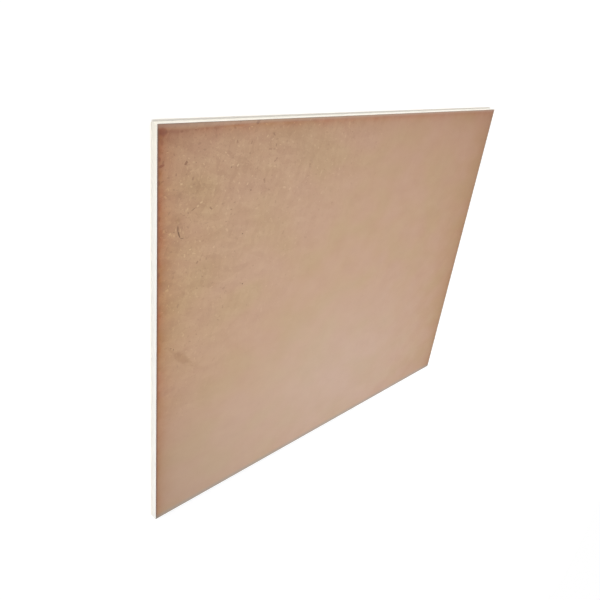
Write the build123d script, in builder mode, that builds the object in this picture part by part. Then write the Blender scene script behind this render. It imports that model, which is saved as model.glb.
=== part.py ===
from build123d import *
import os

# Chipboard panel with cream edging glued to its four sides, lying flat with its brown face up.
# The origin is on the floor, at the middle of the underside.

# Driving dimensions in mm: length along X, width along Y, thickness up Z
panel_length = 1250
panel_width = 1000
panel_thickness = 18
edging_thickness = 1
arris_radius = 0.4

# The board is sawn smaller than the panel by the edging on each side
board_length = panel_length - 2 * edging_thickness
board_width = panel_width - 2 * edging_thickness


# Board: one pressed sheet, sawn square so that the edging sits flush with its faces
with BuildPart() as board:
    with BuildSketch():
        Rectangle(board_length, board_width)
    extrude(amount=panel_thickness)


# End edging: goes on first and stops flush with the board's long sides.
# Only the two arrises along its outer face are eased, because its ends are butted.
with BuildPart() as edging_right:
    with BuildSketch():
        with Locations((board_length / 2, 0)):
            Rectangle(edging_thickness, board_width, align=(Align.MIN, Align.CENTER))
    extrude(amount=panel_thickness)
    outer_face = edging_right.faces().sort_by(Axis.X)[-1]
    fillet(outer_face.edges().filter_by(Axis.Y), radius=arris_radius)

with BuildPart() as edging_left:
    mirror(edging_right.part, about=Plane.YZ)


# Side edging: goes on last and covers the ends of the end edging.
# Every arris is eased except the four against the board.
with BuildPart() as edging_back:
    with BuildSketch():
        with Locations((0, board_width / 2)):
            Rectangle(panel_length, edging_thickness, align=(Align.CENTER, Align.MIN))
    extrude(amount=panel_thickness)
    glued_face = edging_back.faces().sort_by(Axis.Y)[0]
    fillet(edging_back.edges() - glued_face.edges(), radius=arris_radius)

with BuildPart() as edging_front:
    mirror(edging_back.part, about=Plane.XZ)


# Each piece is labelled and written to a file of its own
board.part.label = "board"
edging_left.part.label = "edging_left"
edging_right.part.label = "edging_right"
edging_front.part.label = "edging_front"
edging_back.part.label = "edging_back"

os.makedirs("parts", exist_ok=True)
for piece in (board, edging_left, edging_right, edging_front, edging_back):
    export_step(piece.part, f"parts/{piece.part.label}.step")
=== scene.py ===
import math
import random

import bmesh
import bpy
from mathutils import Matrix, Quaternion, Vector


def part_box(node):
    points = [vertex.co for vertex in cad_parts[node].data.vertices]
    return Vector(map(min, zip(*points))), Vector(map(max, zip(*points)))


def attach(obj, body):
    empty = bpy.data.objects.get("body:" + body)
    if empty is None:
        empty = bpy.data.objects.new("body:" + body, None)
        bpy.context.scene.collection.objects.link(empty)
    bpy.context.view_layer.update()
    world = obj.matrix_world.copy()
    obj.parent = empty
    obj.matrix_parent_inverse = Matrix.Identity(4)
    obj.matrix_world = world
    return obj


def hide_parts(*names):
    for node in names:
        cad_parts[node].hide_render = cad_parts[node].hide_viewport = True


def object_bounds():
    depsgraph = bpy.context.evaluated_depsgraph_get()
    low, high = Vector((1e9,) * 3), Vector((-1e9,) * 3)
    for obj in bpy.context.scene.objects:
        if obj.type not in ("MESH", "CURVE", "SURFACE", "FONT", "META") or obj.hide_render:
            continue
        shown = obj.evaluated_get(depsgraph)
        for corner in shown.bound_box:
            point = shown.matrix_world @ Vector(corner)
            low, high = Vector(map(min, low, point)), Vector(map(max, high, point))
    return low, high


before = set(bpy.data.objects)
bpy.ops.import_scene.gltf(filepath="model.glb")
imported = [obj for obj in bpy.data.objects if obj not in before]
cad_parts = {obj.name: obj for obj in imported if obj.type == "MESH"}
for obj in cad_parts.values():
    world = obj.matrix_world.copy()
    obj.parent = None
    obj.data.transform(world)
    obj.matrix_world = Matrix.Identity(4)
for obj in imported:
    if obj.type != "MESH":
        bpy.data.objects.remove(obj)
cad_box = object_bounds()

mm = 0.001
board_low, board_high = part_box("board")

# The board's rims, in millimetres from its middle
rim_left, rim_right = board_low.x / mm, board_high.x / mm
rim_front, rim_back = board_low.y / mm, board_high.y / mm

# The mat's faces lie inside the board's own by chip_rise, which leaves room for the chips on them
chip_rise = 0.12 * mm
mat_top = board_high.z - chip_rise
arris_break = 0.3 * mm
cutter_lift = 0.02 * mm

# Chips stop short of the board's rims by chip_margin
chip_margin = 0.3 * mm

# Chips whose middle is this close to a mark are left out, in millimetres
mark_margin = 2

# The usual and the longest chip, in millimetres, and how far lengths and tones spread
usual_chip = 4.6
longest_chip = 12
chip_spread = 0.35
chip_tone_spread = 0.1

# The share of chips with a strong tone, and how much longer they are
strong_chips = 0.1
strong_chip_growth = 1.2

# Marks cut into the brown face, in millimetres from its middle: x, y, length, width, depth, turn in degrees
scratch = (
    (-575.5, 289.6, 15, 3.4, 0.5, 91.6),
    (-572.9, 277.6, 18, 3.8, 0.6, 110),
    (-565.3, 267.6, 11, 2.2, 0.3, -7.4),
)
pits = (
    (-404.3, 249.9, 4.2, 3.4, 0.5, 20),
    (-389.6, 349.4, 4.0, 3.2, 0.5, 80),
    (-392.6, 121.8, 4.4, 3.4, 0.5, 130),
    (-447.5, 405.0, 4.0, 2.4, 0.4, 60),
    (-587.3, 8.7, 3.2, 2.6, 0.4, 0),
    (-580.2, 3.2, 4.6, 2.6, 0.4, 85),
    (-584.8, 284.5, 3.2, 2.2, 0.3, 160),
    (-539.8, 326.1, 15.0, 1.6, 0.3, 29),
)

# Dirt rubbed into the brown face: x, y, reach along and across, turn in degrees, strength
smudges = (
    (-556.0, -30.0, 38, 15, -42, 0.6),
    (-576.0, 307.5, 8, 6.5, 0, 0.55),
    (-580.0, 308.0, 22, 18, 30, 0.28),
    (-518.0, -62.0, 30, 9, -37, 0.15),
    (-587.0, 3.0, 22, 5, -52, 0.35),
)

# Blots of red stain at the back left corner and along the left rim, with the same six values
blots = (
    (-613.0, 484.0, 13, 11, 0, 0.65),
    (-614.0, 466.0, 5, 8, 0, 0.5),
    (-619.0, 434.0, 4, 6, 0, 0.9),
    (-614.5, 421.5, 8, 4, 20, 0.9),
    (-620.5, 390.0, 3.5, 8, 0, 0.8),
    (-619.0, 318.0, 4, 7, 0, 0.6),
    (-620.0, 196.0, 4, 9, 0, 0.6),
)

# Chips that stand out by themselves: x, y, length, width, turn in degrees, tone
lone_chips = (
    (-580.9, 289.3, 8.5, 2.2, 92, 0.86),
    (-570.2, 286.0, 9.5, 2.2, 88, 0.86),
    (-584.6, 276.8, 9.0, 3.2, 100, 0.9),
    (-594.2, 282.6, 7.0, 6.0, 20, 0.92),
    (-528.6, 332.1, 6.0, 4.5, 40, 0.9),
    (-520.0, 338.4, 7.5, 5.0, 20, 0.96),
    (-545.0, 238.8, 5.5, 5.0, 0, 0.92),
    (-534.3, 228.6, 11.0, 3.6, -19, 0.92),
    (-482.4, 232.9, 7.0, 4.5, 70, 0.94),
    (-520.1, 253.9, 6.0, 4.0, 120, 0.86),
    (-444.0, 409.5, 5.0, 3.0, 30, 0.94),
)

# Broad flakes in the mat: length and width in millimetres, turn in radians, start of their pattern
flake_kinds = (
    (44, 14, 0.3, 11.0),
    (30, 11, 1.8, 43.0),
    (62, 22, 2.9, 97.0),
)

# Slivers in the mat: spacing, length and width in millimetres, share of places that have one,
# start of their pattern, strength
sliver_kinds = (
    (3.2, 3.0, 1.6, 0.6, 7.3, 0.14),
    (6.0, 5.0, 3.0, 0.35, 31.7, 0.26),
    (12.0, 9.0, 5.0, 0.3, 63.1, 0.34),
)


# Colours are written as sRGB values

def tint(red, green, blue):
    """An sRGB colour of 0 to 255 as the linear colour that a shader takes."""
    def straight(value):
        value /= 255
        return value / 12.92 if value <= 0.04045 else ((value + 0.055) / 1.055) ** 2.4
    return (straight(red), straight(green), straight(blue), 1)


# Short ways to add and join shader nodes

def add(tree, kind, inputs=None, **settings):
    """Adds a node. An input is given by name or number, as a value or as the socket that feeds it."""
    made = tree.nodes.new(kind)
    for name, value in settings.items():
        setattr(made, name, value)
    for key, value in (inputs or {}).items():
        if isinstance(value, bpy.types.NodeSocket):
            tree.links.new(value, made.inputs[key])
        else:
            made.inputs[key].default_value = value
    return made


def sum_of(tree, kind, first, second=0.0, third=0.0):
    """One step of arithmetic on numbers."""
    return add(tree, "ShaderNodeMath", {0: first, 1: second, 2: third}, operation=kind).outputs[0]


def stretch(tree, place, scale):
    """A place multiplied along each axis."""
    return add(tree, "ShaderNodeVectorMath", {0: place, 1: scale}, operation="MULTIPLY").outputs[0]


def shift(tree, place, by):
    """A place moved along each axis."""
    return add(tree, "ShaderNodeVectorMath", {0: place, 1: by}, operation="ADD").outputs[0]


def turned(tree, place, angle):
    """A place turned about Z, by an angle in radians."""
    return add(tree, "ShaderNodeVectorRotate", {"Vector": place, "Angle": angle},
               rotation_type="Z_AXIS").outputs[0]


def span(tree, place):
    """How far a place is from the origin."""
    return add(tree, "ShaderNodeVectorMath", {0: place}, operation="LENGTH").outputs["Value"]


def distance(tree, place, spot, squeeze=(1, 1, 0)):
    """How far a place is from a spot of the face, each axis multiplied first."""
    away = add(tree, "ShaderNodeVectorMath", {0: place, 1: spot}, operation="SUBTRACT").outputs[0]
    return span(tree, stretch(tree, away, squeeze))


def ease(tree, value, start, end, at_start=0.0, at_end=1.0, way="SMOOTHSTEP"):
    """Goes smoothly, or in a straight line, from at_start to at_end as value goes from start to end."""
    return add(tree, "ShaderNodeMapRange", {0: value, 1: start, 2: end, 3: at_start, 4: at_end},
               interpolation_type=way).outputs[0]


def over(tree, amount, below, above, way="MIX"):
    """Lays one colour over another."""
    mix = add(tree, "ShaderNodeMix", data_type="RGBA", blend_type=way)
    for socket, value in ((mix.inputs[0], amount), (mix.inputs[6], below), (mix.inputs[7], above)):
        if isinstance(value, bpy.types.NodeSocket):
            tree.links.new(value, socket)
        else:
            socket.default_value = value
    return mix.outputs[2]


def wash(tree, amount, colour, tone):
    """Darkens a colour by a tone, as a clear stain does, or as painted shade."""
    return over(tree, amount, colour, tone, way="MULTIPLY")


def cloud(tree, place, size, detail=2.0, rough=0.5):
    """Soft noise with patches of about this size, from 0 to 1."""
    return add(tree, "ShaderNodeTexNoise", {"Vector": place, "Scale": 1 / size, "Detail": detail,
               "Roughness": rough}).outputs[0]


def cells(tree, place):
    """One point in each unit square, placed at random, with a random colour for its cell."""
    return add(tree, "ShaderNodeTexVoronoi", {"Vector": place, "Scale": 1.0, "Randomness": 1.0},
               voronoi_dimensions="2D")


def shades(tree, value, *stops):
    """A colour ramp with (position, colour) stops."""
    ramp = add(tree, "ShaderNodeValToRGB", {0: value})
    marks = ramp.color_ramp.elements
    while len(marks) < len(stops):
        marks.new(0.5)
    for mark, (position, colour) in zip(marks, stops):
        mark.position = position
        mark.color = colour
    return ramp.outputs[0]


def new_finish(name):
    """An empty material with its main shader and the place in millimetres."""
    finish = bpy.data.materials.new(name)
    finish.use_nodes = True
    tree = finish.node_tree
    tree.nodes.clear()
    shader = add(tree, "ShaderNodeBsdfPrincipled")
    add(tree, "ShaderNodeOutputMaterial", {"Surface": shader.outputs[0]})
    place = add(tree, "ShaderNodeTexCoord").outputs["Object"]
    return finish, tree, shader, stretch(tree, place, (1 / mm, 1 / mm, 1 / mm))


# Chipboard: fine slivers pressed into a tan mat

mat_tan = tint(198, 162, 133)
mat_olive = tint(196, 163, 130)
mat_rosy = tint(199, 162, 136)
# The next colour is dust with a painted sheen on it
mat_dust_sheen = tint(206, 184, 172)
mat_grey = tint(164, 170, 166)
wood_dark = tint(150, 113, 88)
wood_pale = tint(226, 199, 164)
stain_red = tint(228, 162, 110)
stain_tan = tint(224, 177, 110)
stain_ochre = tint(229, 189, 143)
stain_brown = tint(208, 182, 160)
stain_deep = tint(212, 180, 176)
stain_corner = tint(200, 160, 160)
rim_brown = tint(112, 80, 64)
rim_olive = tint(112, 108, 88)
rim_grey = tint(130, 150, 148)
rim_veil = tint(182, 155, 142)
# The next colour is toasted stain and painted shade, darkening the face towards its rims and to the right
toast_and_shade = tint(229, 217, 212)
toast_yellow = tint(252, 248, 225)
toast_ochre = tint(251, 246, 210)
grime = tint(226, 216, 204)
# The next colour darkens the scratch and the pits where they are deep
deep_mark_tone = tint(116, 84, 58)

# The mat's soft patches are longer along the panel's length, as the sheet was pressed
along_press = (0.62, 1, 1)

# The size of each kind of patch, in millimetres
hue_patch = 90
tone_patch = 32
mottle_patch = 11
gloss_patch = 60
grit_patch = 2.5
streak_patch = 1.2
tinge_patch = 55
stain_edge_patch = 26
flake_edge_patch = 9
smudge_edge_patch = 7

# How far edges wander: the stain's and the flakes' in millimetres, the smudges' as a share of their reach
stain_wander = 22
flake_wander = 6
smudge_wander = 0.8

# How strongly the patches, the mottle and the flakes show
patch_strength = 0.18
mottle_strength = 0.2
flake_strength = 0.1
rubbed_flake_strength = 0.005

# Chips show most up to crisp_reach from the back left corner and least past crisp_end,
# with the millimetres along both rims added up
crisp_reach = 200
crisp_end = 870
crisp_most = 1.05
crisp_least = 0.05

# The ochre of the left rim is strongest this far back from the panel's middle, in millimetres
ochre_middle = 200

# Dust with a painted sheen, and grey at the front left corner, in millimetres
dust_sheen_middle = (0, -290, 0)
dust_sheen_reach = 420
grey_reach = 500

# The scratch and the pits turn darker from the first depth below the mat's face and are darkest at the
# second, in millimetres
darken_start = 0.03
darken_full = 0.3
darken_strength = 0.85

wood_rough = (0.54, 0.66)
wood_relief = 0.12 * mm
sliver_lift = 0.4


def slivers(tree, place, pitch, length, width, share, start):
    """Slivers of one size, one in each cell of a loose pattern, each turned at random.
    Gives how far the place is inside one, from 0 to 1, and the sliver's own random number."""
    spot = shift(tree, stretch(tree, place, (1 / pitch, 1 / pitch, 0)), (start, -start, 0))
    cell = cells(tree, spot)
    chance = add(tree, "ShaderNodeSeparateColor", {0: cell.outputs["Color"]})
    middle = add(tree, "ShaderNodeVectorMath", {0: spot, 1: cell.outputs["Position"]},
                 operation="SUBTRACT").outputs[0]
    along = turned(tree, middle, sum_of(tree, "MULTIPLY", chance.outputs[0], math.tau))
    reach = span(tree, stretch(tree, along, (2 * pitch / length, 2 * pitch / width, 0)))
    cover = ease(tree, reach, 0.7, 1.0, 1.0, 0.0)
    there = sum_of(tree, "LESS_THAN", chance.outputs[1], share)
    return sum_of(tree, "MULTIPLY", cover, there), chance.outputs[2]


def crispness(tree, place):
    """How clearly the chips show: most near the back left corner, least where the face is rubbed."""
    axes = add(tree, "ShaderNodeSeparateXYZ", {0: place})
    away = sum_of(tree, "SUBTRACT", axes.outputs[0], axes.outputs[1])
    corner = rim_left - rim_back
    return ease(tree, away, corner + crisp_reach, corner + crisp_end, crisp_most, crisp_least,
                way="LINEAR")


def flakes(tree, place, length, width, angle, start):
    """Broad flakes side by side with ragged edges, each with a random tone from 0 to 1."""
    ragged = sum_of(tree, "MULTIPLY_ADD", cloud(tree, place, flake_edge_patch, detail=3), flake_wander,
                    start - flake_wander / 2)
    spot = stretch(tree, turned(tree, shift(tree, place, ragged), angle), (1 / length, 1 / width, 0))
    return add(tree, "ShaderNodeSeparateColor", {0: cells(tree, spot).outputs["Color"]}).outputs[0]


def wood_tone(tree, colour, tone, amount):
    """Turns the ground's colour darker or paler by a chip's own tone, where 0.5 is the ground's."""
    dark = sum_of(tree, "MULTIPLY", ease(tree, tone, 0.0, 0.5, 1.0, 0.0), amount)
    pale = sum_of(tree, "MULTIPLY", ease(tree, tone, 0.5, 1.0, 0.0, 1.0), amount)
    return over(tree, pale, over(tree, dark, colour, wood_dark), wood_pale)


def ground(tree, place):
    """The mat's own colour, darker to the right as painted shade, paler to the front as dust with a painted
    sheen, and grey at the front left corner.
    """
    grain = stretch(tree, place, along_press)
    hue = cloud(tree, grain, hue_patch, detail=1)
    colour = shades(tree, hue, (0.35, mat_olive), (0.5, mat_tan), (0.65, mat_rosy))
    patches = ease(tree, cloud(tree, grain, tone_patch, detail=2), 0.3, 0.7, 0.35, 0.65)
    colour = wood_tone(tree, colour, patches, patch_strength)
    axes = add(tree, "ShaderNodeSeparateXYZ", {0: place})
    # Painted shade: darker towards the right rim.
    colour = wash(tree, ease(tree, axes.outputs[0], -150, rim_right, 0.0, 0.3), colour, toast_and_shade)
    # Dust with a painted sheen: paler and greyer to the front and in a broad patch at the middle front.
    from_dust_sheen = distance(tree, place, dust_sheen_middle, (0.8, 1, 0))
    dust_and_sheen = sum_of(tree, "ADD", ease(tree, from_dust_sheen, 0, dust_sheen_reach, 0.2, 0.0),
                  ease(tree, axes.outputs[1], 150, rim_front, 0.0, 0.16))
    colour = over(tree, dust_and_sheen, colour, mat_dust_sheen)
    from_corner = distance(tree, place, (rim_left, rim_front, 0))
    return over(tree, ease(tree, from_corner, 0, grey_reach, 0.14, 0.0), colour, mat_grey)


def pressed_mat(tree, place):
    """Colour and relief of the pressed mat: slivers of three sizes over broad flakes in a mottled ground."""
    crisp = crispness(tree, place)
    mottle = cloud(tree, stretch(tree, place, along_press), mottle_patch, detail=2)
    colour = wood_tone(tree, ground(tree, place), ease(tree, mottle, 0.3, 0.7, 0.3, 0.7),
                       sum_of(tree, "MULTIPLY", crisp, mottle_strength))
    flake_amount = sum_of(tree, "MULTIPLY_ADD", crisp, flake_strength, rubbed_flake_strength)
    for kind in flake_kinds:
        tone = ease(tree, flakes(tree, place, *kind), 0.0, 1.0, 0.12, 0.95)
        colour = wood_tone(tree, colour, tone, flake_amount)
    relief = cloud(tree, place, grit_patch, detail=3)
    for *kind, strength in sliver_kinds:
        cover, tone = slivers(tree, place, *kind)
        amount = sum_of(tree, "MULTIPLY", sum_of(tree, "MULTIPLY", cover, crisp), strength)
        colour = wood_tone(tree, colour, tone, amount)
        lift = sum_of(tree, "MULTIPLY", cover, tone)
        relief = sum_of(tree, "MULTIPLY_ADD", lift, sliver_lift, relief)
    return colour, relief


def raised_chip(tree, place):
    """Colour and relief of a chip that stands out of the mat, with a tone of its own."""
    tone = add(tree, "ShaderNodeAttribute", attribute_name="chip_tone").outputs["Fac"]
    streaks = cloud(tree, place, streak_patch, detail=2)
    amount = sum_of(tree, "MULTIPLY", crispness(tree, place), ease(tree, streaks, 0.3, 0.7, 0.65, 0.9))
    return wood_tone(tree, ground(tree, place), tone, amount), streaks


def chipboard_finish(name, make_wood, brown_face):
    """Pressed chipboard. The brown face, the one in view, has dirt, marks and a stained rim that is partly
    painted shade.
    """
    finish, tree, shader, place = new_finish(name)
    colour, relief = make_wood(tree, place)
    if brown_face:
        colour = smudges_and_dark_marks(tree, place, rim_stain_and_shade(tree, place, colour))
    tree.links.new(colour, shader.inputs["Base Color"])
    rough = ease(tree, cloud(tree, place, gloss_patch, detail=3), 0.3, 0.7, *wood_rough)
    tree.links.new(rough, shader.inputs["Roughness"])
    bump = add(tree, "ShaderNodeBump", {"Strength": 0.4, "Distance": wood_relief, "Height": relief})
    tree.links.new(bump.outputs[0], shader.inputs["Normal"])
    return finish


def rim_stain_and_shade(tree, place, colour):
    """Stain that soaked in from the rims, with blots of it and thin lines beside the edging, and painted
    shade that darkens the face towards its rims.
    """
    axes = add(tree, "ShaderNodeSeparateXYZ", {0: place})
    x, y = axes.outputs[0], axes.outputs[1]
    left = sum_of(tree, "SUBTRACT", x, rim_left)
    right = sum_of(tree, "SUBTRACT", rim_right, x)
    front = sum_of(tree, "SUBTRACT", y, rim_front)
    back = sum_of(tree, "SUBTRACT", rim_back, y)
    colour = toasted_and_shaded_rims(tree, colour, y, left, right, front, back)
    colour = stained_rims(tree, place, colour, x, y, left, right, front, back)
    for blot in blots:
        colour = wash(tree, patch(tree, place, *blot), colour, stain_deep)
    return rim_lines(tree, colour, left, right, front, back)


def rim_fade(tree, away, reach, strength):
    """How much stain or painted shade is left at a place: strength at the rim, and about a third of that at
    reach.
    """
    left = sum_of(tree, "EXPONENT", sum_of(tree, "DIVIDE", away, -reach))
    return sum_of(tree, "MULTIPLY", left, strength)


def toasted_and_shaded_rims(tree, colour, y, left, right, front, back):
    """Toasted brown that reaches furthest in, partly painted shade that darkens the face towards its rims,
    with more ochre along the back half of the left rim.
    """
    from_ochre = sum_of(tree, "ABSOLUTE", sum_of(tree, "SUBTRACT", y, ochre_middle))
    toasts_and_shades = (
        (left, 140, ease(tree, y, 100, -300, 0.6, 0.76), toast_and_shade),
        (left, 200, ease(tree, y, 0, -350, 0.48, 0.28), toast_yellow),
        (left, 60, ease(tree, from_ochre, 60, 240, 0.38, 0.0), toast_ochre),
        (back, 140, 0.63, toast_and_shade),
        (right, 140, 0.8, toast_and_shade),
        (right, 100, ease(tree, y, 400, -200, 0.35, 0.7), toast_ochre),
        (front, 140, 0.38, toast_and_shade),
    )
    for away, reach, strength, tone in toasts_and_shades:
        colour = wash(tree, rim_fade(tree, away, reach, strength), colour, tone)
    return colour


def stained_rims(tree, place, colour, x, y, left, right, front, back):
    """Stain that ends unevenly: red and tan at the back left, ochre further on, brown to the right."""
    edge = cloud(tree, place, stain_edge_patch, detail=4, rough=0.6)
    wander = sum_of(tree, "MULTIPLY_ADD", edge, stain_wander, -stain_wander / 2)
    tans = ease(tree, cloud(tree, place, tinge_patch, detail=3), 0.42, 0.58)
    tinge = over(tree, tans, stain_red, stain_tan)
    frontward = ease(tree, y, 50, -400, 0.0, 0.8)
    rightward = ease(tree, x, -100, 400, 0.0, 0.9)
    tinge = over(tree, sum_of(tree, "MAXIMUM", frontward, rightward), tinge, stain_ochre)

    # A band along the back rim stayed paler. It is 14 mm wide at the left corner and 6 mm further on.
    past_band = sum_of(tree, "SUBTRACT", back, ease(tree, left, 0, 300, 14, 6))
    unstained = ease(tree, past_band, -5, 1, 0.4, 0.0)
    back_strength = sum_of(tree, "SUBTRACT", ease(tree, left, 100, 300, 0.6, 0.58), unstained)

    # Next to the corner the stain past the band is browner and reaches further
    from_band = sum_of(tree, "MULTIPLY", sum_of(tree, "ABSOLUTE", past_band),
                       ease(tree, left, 60, 190, 0.85, 1.4))
    corner_tinge = over(tree, ease(tree, left, 60, 190, 0.9, 0.0), tinge, stain_corner)

    stains = (
        (left, 16, ease(tree, y, 50, -450, 1.0, 0.8), tinge),
        (from_band, 14, back_strength, corner_tinge),
        (right, 22, ease(tree, y, 200, -100, 0.36, 0.52), stain_brown),
        (front, 8, 0.1, tinge),
    )
    for away, reach, strength, tone in stains:
        uneven = sum_of(tree, "MAXIMUM", sum_of(tree, "ADD", away, wander), 0.0)
        colour = wash(tree, rim_fade(tree, uneven, reach, strength), colour, tone)
    return colour


def rim_lines(tree, colour, left, right, front, back):
    """Thin lines beside the edging, each with its width in millimetres, its strength and its tone."""
    lines = (
        (left, 6.5, 0.85, rim_brown),
        (back, 11.0, 0.45, rim_veil),
        (back, 2.2, 0.4, rim_olive),
        (back, 9.0, ease(tree, left, 30, 150, 0.24, 0.0), rim_brown),
        (right, 8.0, 0.3, rim_olive),
        (front, 18.0, 0.45, rim_grey),
    )
    for away, width, strength, tone in lines:
        colour = over(tree, ease(tree, away, 0.5, width, strength, 0.0), colour, tone)
    return colour


def patch(tree, place, x, y, along, across, turn, strength):
    """How much of a long round patch with a ragged edge covers a place."""
    edge = cloud(tree, place, smudge_edge_patch, detail=3)
    ragged = sum_of(tree, "MULTIPLY_ADD", edge, smudge_wander, -smudge_wander / 2)
    turned_back = turned(tree, shift(tree, place, (-x, -y, 0)), math.radians(-turn))
    reach = span(tree, stretch(tree, turned_back, (1 / along, 1 / across, 0)))
    return ease(tree, sum_of(tree, "ADD", reach, ragged), 0.4, 1.0, strength, 0.0)


def smudges_and_dark_marks(tree, place, colour):
    """Smudges, and the scratch and the pits darker the deeper they lie."""
    for smudge in smudges:
        colour = wash(tree, patch(tree, place, *smudge), colour, grime)
    height = add(tree, "ShaderNodeSeparateXYZ", {0: place}).outputs[2]
    face = mat_top / mm
    # Darker the deeper a place lies in the scratch and the pits
    deepening = ease(tree, height, face - darken_full, face - darken_start, darken_strength, 0.0)
    return over(tree, deepening, colour, deep_mark_tone)


# Edging: cream plastic

cream_low = tint(241, 237, 226)
cream_high = tint(245, 241, 231)
cream_line = tint(222, 216, 203)
cream_front = tint(243, 243, 241)
cream_foot_shade = tint(214, 215, 208)
cream_patch = 40
cream_rough = (0.38, 0.5)
cream_relief = 0.05 * mm

# Noise drawn out along the strips makes their fine lines
along_strips = (0.02, 0.02, 1.6)

# Where the cream starts to turn whiter and is whitest, and the same for the painted shade that greys its
# foot, in millimetres along y and z
whiter = (497, 300)
foot_shade = (12, 1)


def edging_finish():
    """Cream plastic edging: fine lines along its length, whiter to the front, and greyer in its lower half as
    painted shade.
    """
    finish, tree, shader, place = new_finish("edging_cream")
    lines = cloud(tree, stretch(tree, place, along_strips), 1.0, detail=5, rough=0.6)
    blotch = cloud(tree, place, cream_patch, detail=3)
    colour = shades(tree, blotch, (0.3, cream_low), (0.7, cream_high))
    colour = over(tree, ease(tree, lines, 0.4, 0.75, 0.0, 0.25), colour, cream_line)
    axes = add(tree, "ShaderNodeSeparateXYZ", {0: place})
    colour = over(tree, ease(tree, axes.outputs[1], *whiter, 0.0, 0.8), colour, cream_front)
    # Painted shade: the edging greys towards its foot, next to the floor.
    colour = over(tree, ease(tree, axes.outputs[2], *foot_shade, 0.0, 0.35), colour, cream_foot_shade)
    tree.links.new(colour, shader.inputs["Base Color"])
    tree.links.new(ease(tree, lines, 0.3, 0.7, *cream_rough), shader.inputs["Roughness"])
    bump = add(tree, "ShaderNodeBump", {"Strength": 0.35, "Distance": cream_relief, "Height": lines})
    tree.links.new(bump.outputs[0], shader.inputs["Normal"])
    return finish


# Floor, light and camera. Lengths are in metres and angles in degrees.

floor_reach = 8
floor_gap = 0.1 * mm
floor_colour = (0.9, 0.865, 0.81, 1)
floor_glow = (0.275, 0.3, 0.35, 1)
shade_reach = 0.012

# Each sun has the place that it shines from, its strength and how wide it looks
suns = {
    "overhead": ((-0.05, -0.2, 1), 1.175, 3),
    "side": ((-0.8, 1, 0.22), 2.3, 30),
}
sheen_place = (1.5, -1.3, 1.3)
sheen_width = 1.2
sheen_strength = 5
room_strength = 0.36

# The camera was fitted to the corners of the panel in the photo
camera_place = (-1.1931, 0.7091, 0.9365)
camera_aim = (-0.1850, 0.0216, 0.0180)
camera_roll = 119.82
camera_lens = 34.13
camera_sensor = 36


def lay_floor():
    """A pale floor just under the panel. The camera sees it as white, except in the panel's shade."""
    bm = bmesh.new()
    bmesh.ops.create_grid(bm, x_segments=1, y_segments=1, size=floor_reach)
    bmesh.ops.translate(bm, verts=bm.verts, vec=(0, 0, cad_box[0].z - floor_gap))
    floor = finished_piece("floor", bm)
    pale = bpy.data.materials.new("floor_pale")
    pale.use_nodes = True
    tree = pale.node_tree
    tree.nodes.clear()
    plain = add(tree, "ShaderNodeBsdfDiffuse", {"Color": floor_colour})
    # The glow fades next to the panel by ambient occlusion: painted shade that deepens the panel's cast
    # shadow on the floor.
    open_sky = add(tree, "ShaderNodeAmbientOcclusion", {"Distance": shade_reach}).outputs["AO"]
    lit = ease(tree, open_sky, 0.5, 0.95)
    strength = sum_of(tree, "MULTIPLY", seen_directly(tree), lit)
    glow = add(tree, "ShaderNodeEmission", {"Color": floor_glow, "Strength": strength})
    both = add(tree, "ShaderNodeAddShader", {0: plain.outputs[0], 1: glow.outputs[0]})
    add(tree, "ShaderNodeOutputMaterial", {"Surface": both.outputs[0]})
    floor.data.materials.append(pale)


def seen_directly(tree):
    """1 for a ray from the camera, or one mirrored or passed through on the way."""
    path = add(tree, "ShaderNodeLightPath")
    seen = sum_of(tree, "MAXIMUM", path.outputs["Is Camera Ray"], path.outputs["Is Glossy Ray"])
    return sum_of(tree, "MAXIMUM", seen, path.outputs["Is Transmission Ray"])


def light_studio():
    """An even white room with one light overhead, one low at the back left and a soft box at the front right.
    The overhead light leans to the front, so that the panel's shadow shows along its back edge."""
    room = bpy.data.worlds.new("room")
    room.use_nodes = True
    tree = room.node_tree
    tree.nodes.clear()
    strength = ease(tree, seen_directly(tree), 0.0, 1.0, room_strength, 1.0)
    sky = add(tree, "ShaderNodeBackground", {"Color": (1, 1, 1, 1), "Strength": strength})
    add(tree, "ShaderNodeOutputWorld", {"Surface": sky.outputs[0]})
    bpy.context.scene.world = room

    for name, (place, energy, width) in suns.items():
        sun = bpy.data.lights.new(name, "SUN")
        sun.energy = energy
        sun.angle = math.radians(width)
        aim_from(sun, Vector(place))

    sheen = bpy.data.lights.new("sheen", "AREA")
    sheen.size = sheen_width
    sheen.energy = sheen_strength
    aim_from(sheen, Vector(sheen_place))


def aim_from(lamp, place):
    """Hangs a lamp at a place, turned to the middle of the floor."""
    hung = bpy.data.objects.new(lamp.name, lamp)
    hung.location = place
    hung.rotation_euler = (-place).to_track_quat("-Z", "Y").to_euler()
    bpy.context.collection.objects.link(hung)


def place_camera():
    """The photo's view, looking down on the panel's face from over its back left corner."""
    eye = bpy.data.cameras.new("camera")
    eye.sensor_width = camera_sensor
    eye.lens = camera_lens
    camera = bpy.data.objects.new("camera", eye)
    camera.location = camera_place
    camera.rotation_mode = "QUATERNION"
    ahead = (Vector(camera_aim) - Vector(camera_place)).to_track_quat("-Z", "Y")
    camera.rotation_quaternion = ahead @ Quaternion((0, 0, 1), math.radians(camera_roll))
    bpy.context.collection.objects.link(camera)
    bpy.context.scene.camera = camera


# Pieces

def finished_piece(name, bm):
    """Writes a mesh out as an object at the origin."""
    mesh = bpy.data.meshes.new(name)
    bm.to_mesh(mesh)
    bm.free()
    piece = bpy.data.objects.new(name, mesh)
    bpy.context.collection.objects.link(piece)
    return piece


def wear(piece, *finishes):
    """Gives a piece its materials, in the order of its slots."""
    piece.data.materials.clear()
    for finish in finishes:
        piece.data.materials.append(finish)


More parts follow.
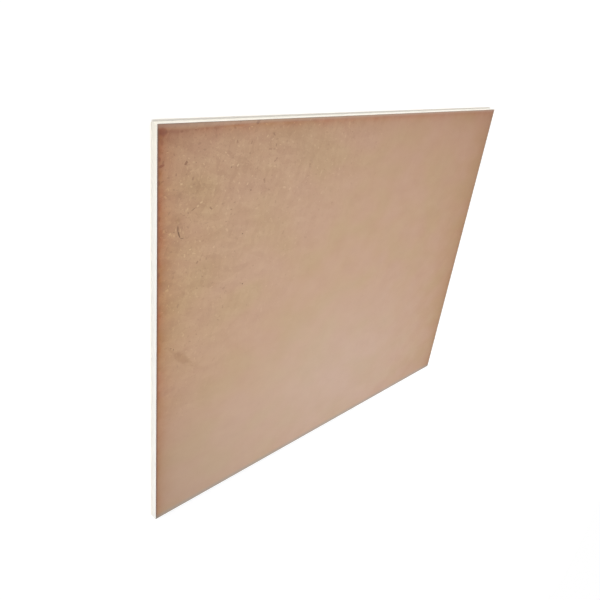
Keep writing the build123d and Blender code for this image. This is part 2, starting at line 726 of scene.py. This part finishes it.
def pressed_board():
    """The board's mat: sawn arrises just broken, both faces a hair below the edging, to carry the chips."""
    bm = bmesh.new()
    bmesh.ops.create_cube(bm, size=1)
    bmesh.ops.scale(bm, verts=bm.verts, vec=board_high - board_low - Vector((0, 0, 2 * chip_rise)))
    bmesh.ops.translate(bm, verts=bm.verts, vec=(board_low + board_high) / 2)
    arrises = [edge for edge in bm.edges if edge.verts[0].co.z == edge.verts[1].co.z]
    bmesh.ops.bevel(bm, geom=arrises, offset=arris_break, offset_type="OFFSET", affect="EDGES", segments=2,
                    profile=0.5, material=-1)
    return finished_piece("board_mat", bm)


def gouges():
    """The scratch and the pits as long rounded cutters, nearly half sunk in the mat's brown face.
    Lifting them a little keeps their widest ring out of the face's own plane."""
    bm = bmesh.new()
    for x, y, length, width, depth, turn in scratch + pits:
        cutter = bmesh.ops.create_uvsphere(bm, u_segments=16, v_segments=8, radius=1)["verts"]
        bmesh.ops.scale(bm, verts=cutter, vec=(length / 2 * mm, width / 2 * mm, depth * mm))
        bmesh.ops.rotate(bm, verts=cutter, matrix=Matrix.Rotation(math.radians(turn), 3, "Z"))
        bmesh.ops.translate(bm, verts=cutter, vec=(x * mm, y * mm, mat_top + cutter_lift))
    return finished_piece("gouges", bm)


def cut_away(piece, cutter):
    """Cuts one shape out of another and deletes the cutter."""
    cut = piece.modifiers.new("cut", "BOOLEAN")
    cut.object = cutter
    cut.operation = "DIFFERENCE"
    cut.solver = "EXACT"
    cut.use_self = True
    seen = bpy.context.evaluated_depsgraph_get()
    piece.data = bpy.data.meshes.new_from_object(piece.evaluated_get(seen))
    piece.modifiers.clear()
    bpy.data.objects.remove(cutter)


def chip_layer(name, along, across, side, seed, lone=()):
    """Chips pressed into one face of the board, each cut, turned and tilted in its own way.
    side is 1 for the brown face and -1 for the underside. lone are chips with a place of their own."""
    draw = random.Random(seed)
    bm = bmesh.new()
    bmesh.ops.create_grid(bm, x_segments=along, y_segments=across, size=0.5)
    bmesh.ops.split_edges(bm, edges=bm.edges)
    tones = bm.verts.layers.float.new("chip_tone")
    size = board_high - board_low
    covering = []
    for chip in bm.faces:
        cell = chip.calc_center_median()
        spot = Vector(((cell.x + draw.uniform(-0.5, 0.5) / along) * size.x,
                       (cell.y + draw.uniform(-0.5, 0.5) / across) * size.y, 0))
        length = min(draw.lognormvariate(math.log(usual_chip), chip_spread), longest_chip) * mm
        width = draw.uniform(0.32, 0.62) * length
        turn = draw.uniform(0, math.pi)
        tone = draw.gauss(0.5, chip_tone_spread)
        if draw.random() < strong_chips:
            tone = draw.choice((draw.uniform(0.05, 0.28), draw.uniform(0.72, 0.94), draw.uniform(0.72, 0.94)))
            width = draw.uniform(0.5, 0.9) * length
            length *= strong_chip_growth
        lay_chip(chip, spot, length, width, turn, tone, tones, side, draw)
        if side > 0 and over_a_mark(spot):
            covering.append(chip)
    bmesh.ops.delete(bm, geom=covering, context="FACES")
    for x, y, length, width, turn, tone in lone:
        spot = Vector((x, y, 0)) * mm
        chip = min(bm.faces, key=lambda other: (other.calc_center_median().xy - spot.xy).length)
        lay_chip(chip, spot, length * mm, width * mm, math.radians(turn), tone, tones, side, draw)
    bmesh.ops.solidify(bm, geom=bm.faces[:], thickness=side * chip_rise)
    bmesh.ops.recalc_face_normals(bm, faces=bm.faces)
    return finished_piece(name, bm)


def lay_chip(chip, spot, length, width, turn, tone, tones, side, draw):
    """Moves the four corners of one chip to its place, kept inside the board."""
    low = board_low + Vector((chip_margin, chip_margin, 0))
    high = board_high - Vector((chip_margin, chip_margin, 0))
    outer = board_high.z if side > 0 else board_low.z
    for corner, (end, edge) in zip(chip.verts, ((-1, -1), (1, -1), (1, 1), (-1, 1))):
        reach = Vector((end * length * draw.uniform(0.3, 0.5), edge * width * draw.uniform(0.2, 0.5), 0))
        place = spot + Matrix.Rotation(turn, 3, "Z") @ reach
        corner.co = (min(max(place.x, low.x), high.x), min(max(place.y, low.y), high.y),
                     outer - side * chip_rise * draw.uniform(0.05, 0.7))
        corner[tones] = min(max(tone, 0), 1)


def over_a_mark(spot):
    """Whether a chip here would cover the scratch or a pit."""
    for x, y, length, width, _, turn in scratch + pits:
        off = Matrix.Rotation(math.radians(-turn), 3, "Z") @ (spot - Vector((x, y, 0)) * mm)
        if abs(off.x) < (length / 2 + mark_margin) * mm and abs(off.y) < (width / 2 + mark_margin) * mm:
            return True
    return False


# The board, with its brown face up

brown_mat = chipboard_finish("chipboard_brown_face", pressed_mat, brown_face=True)
under_mat = chipboard_finish("chipboard_underside", pressed_mat, brown_face=False)
board = pressed_board()
cut_away(board, gouges())
wear(board, brown_mat, under_mat)
for face in board.data.polygons:
    face.material_index = 0 if face.center.z > board_high.z / 2 else 1
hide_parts("board")

brown_chips = chip_layer("chips_brown_face", along=130, across=104, side=1, seed=4, lone=lone_chips)
wear(brown_chips, chipboard_finish("chips_brown", raised_chip, brown_face=True))
under_chips = chip_layer("chips_underside", along=80, across=64, side=-1, seed=9)
wear(under_chips, chipboard_finish("chips_under", raised_chip, brown_face=False))
for piece in (board, brown_chips, under_chips):
    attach(piece, "root")

# The edging keeps the shape of the CAD nodes

cream = edging_finish()
for side in ("left", "right", "front", "back"):
    wear(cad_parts[f"edging_{side}"], cream)

lay_floor()
light_studio()
place_camera()

bpy.context.scene.view_settings.view_transform = "Standard"
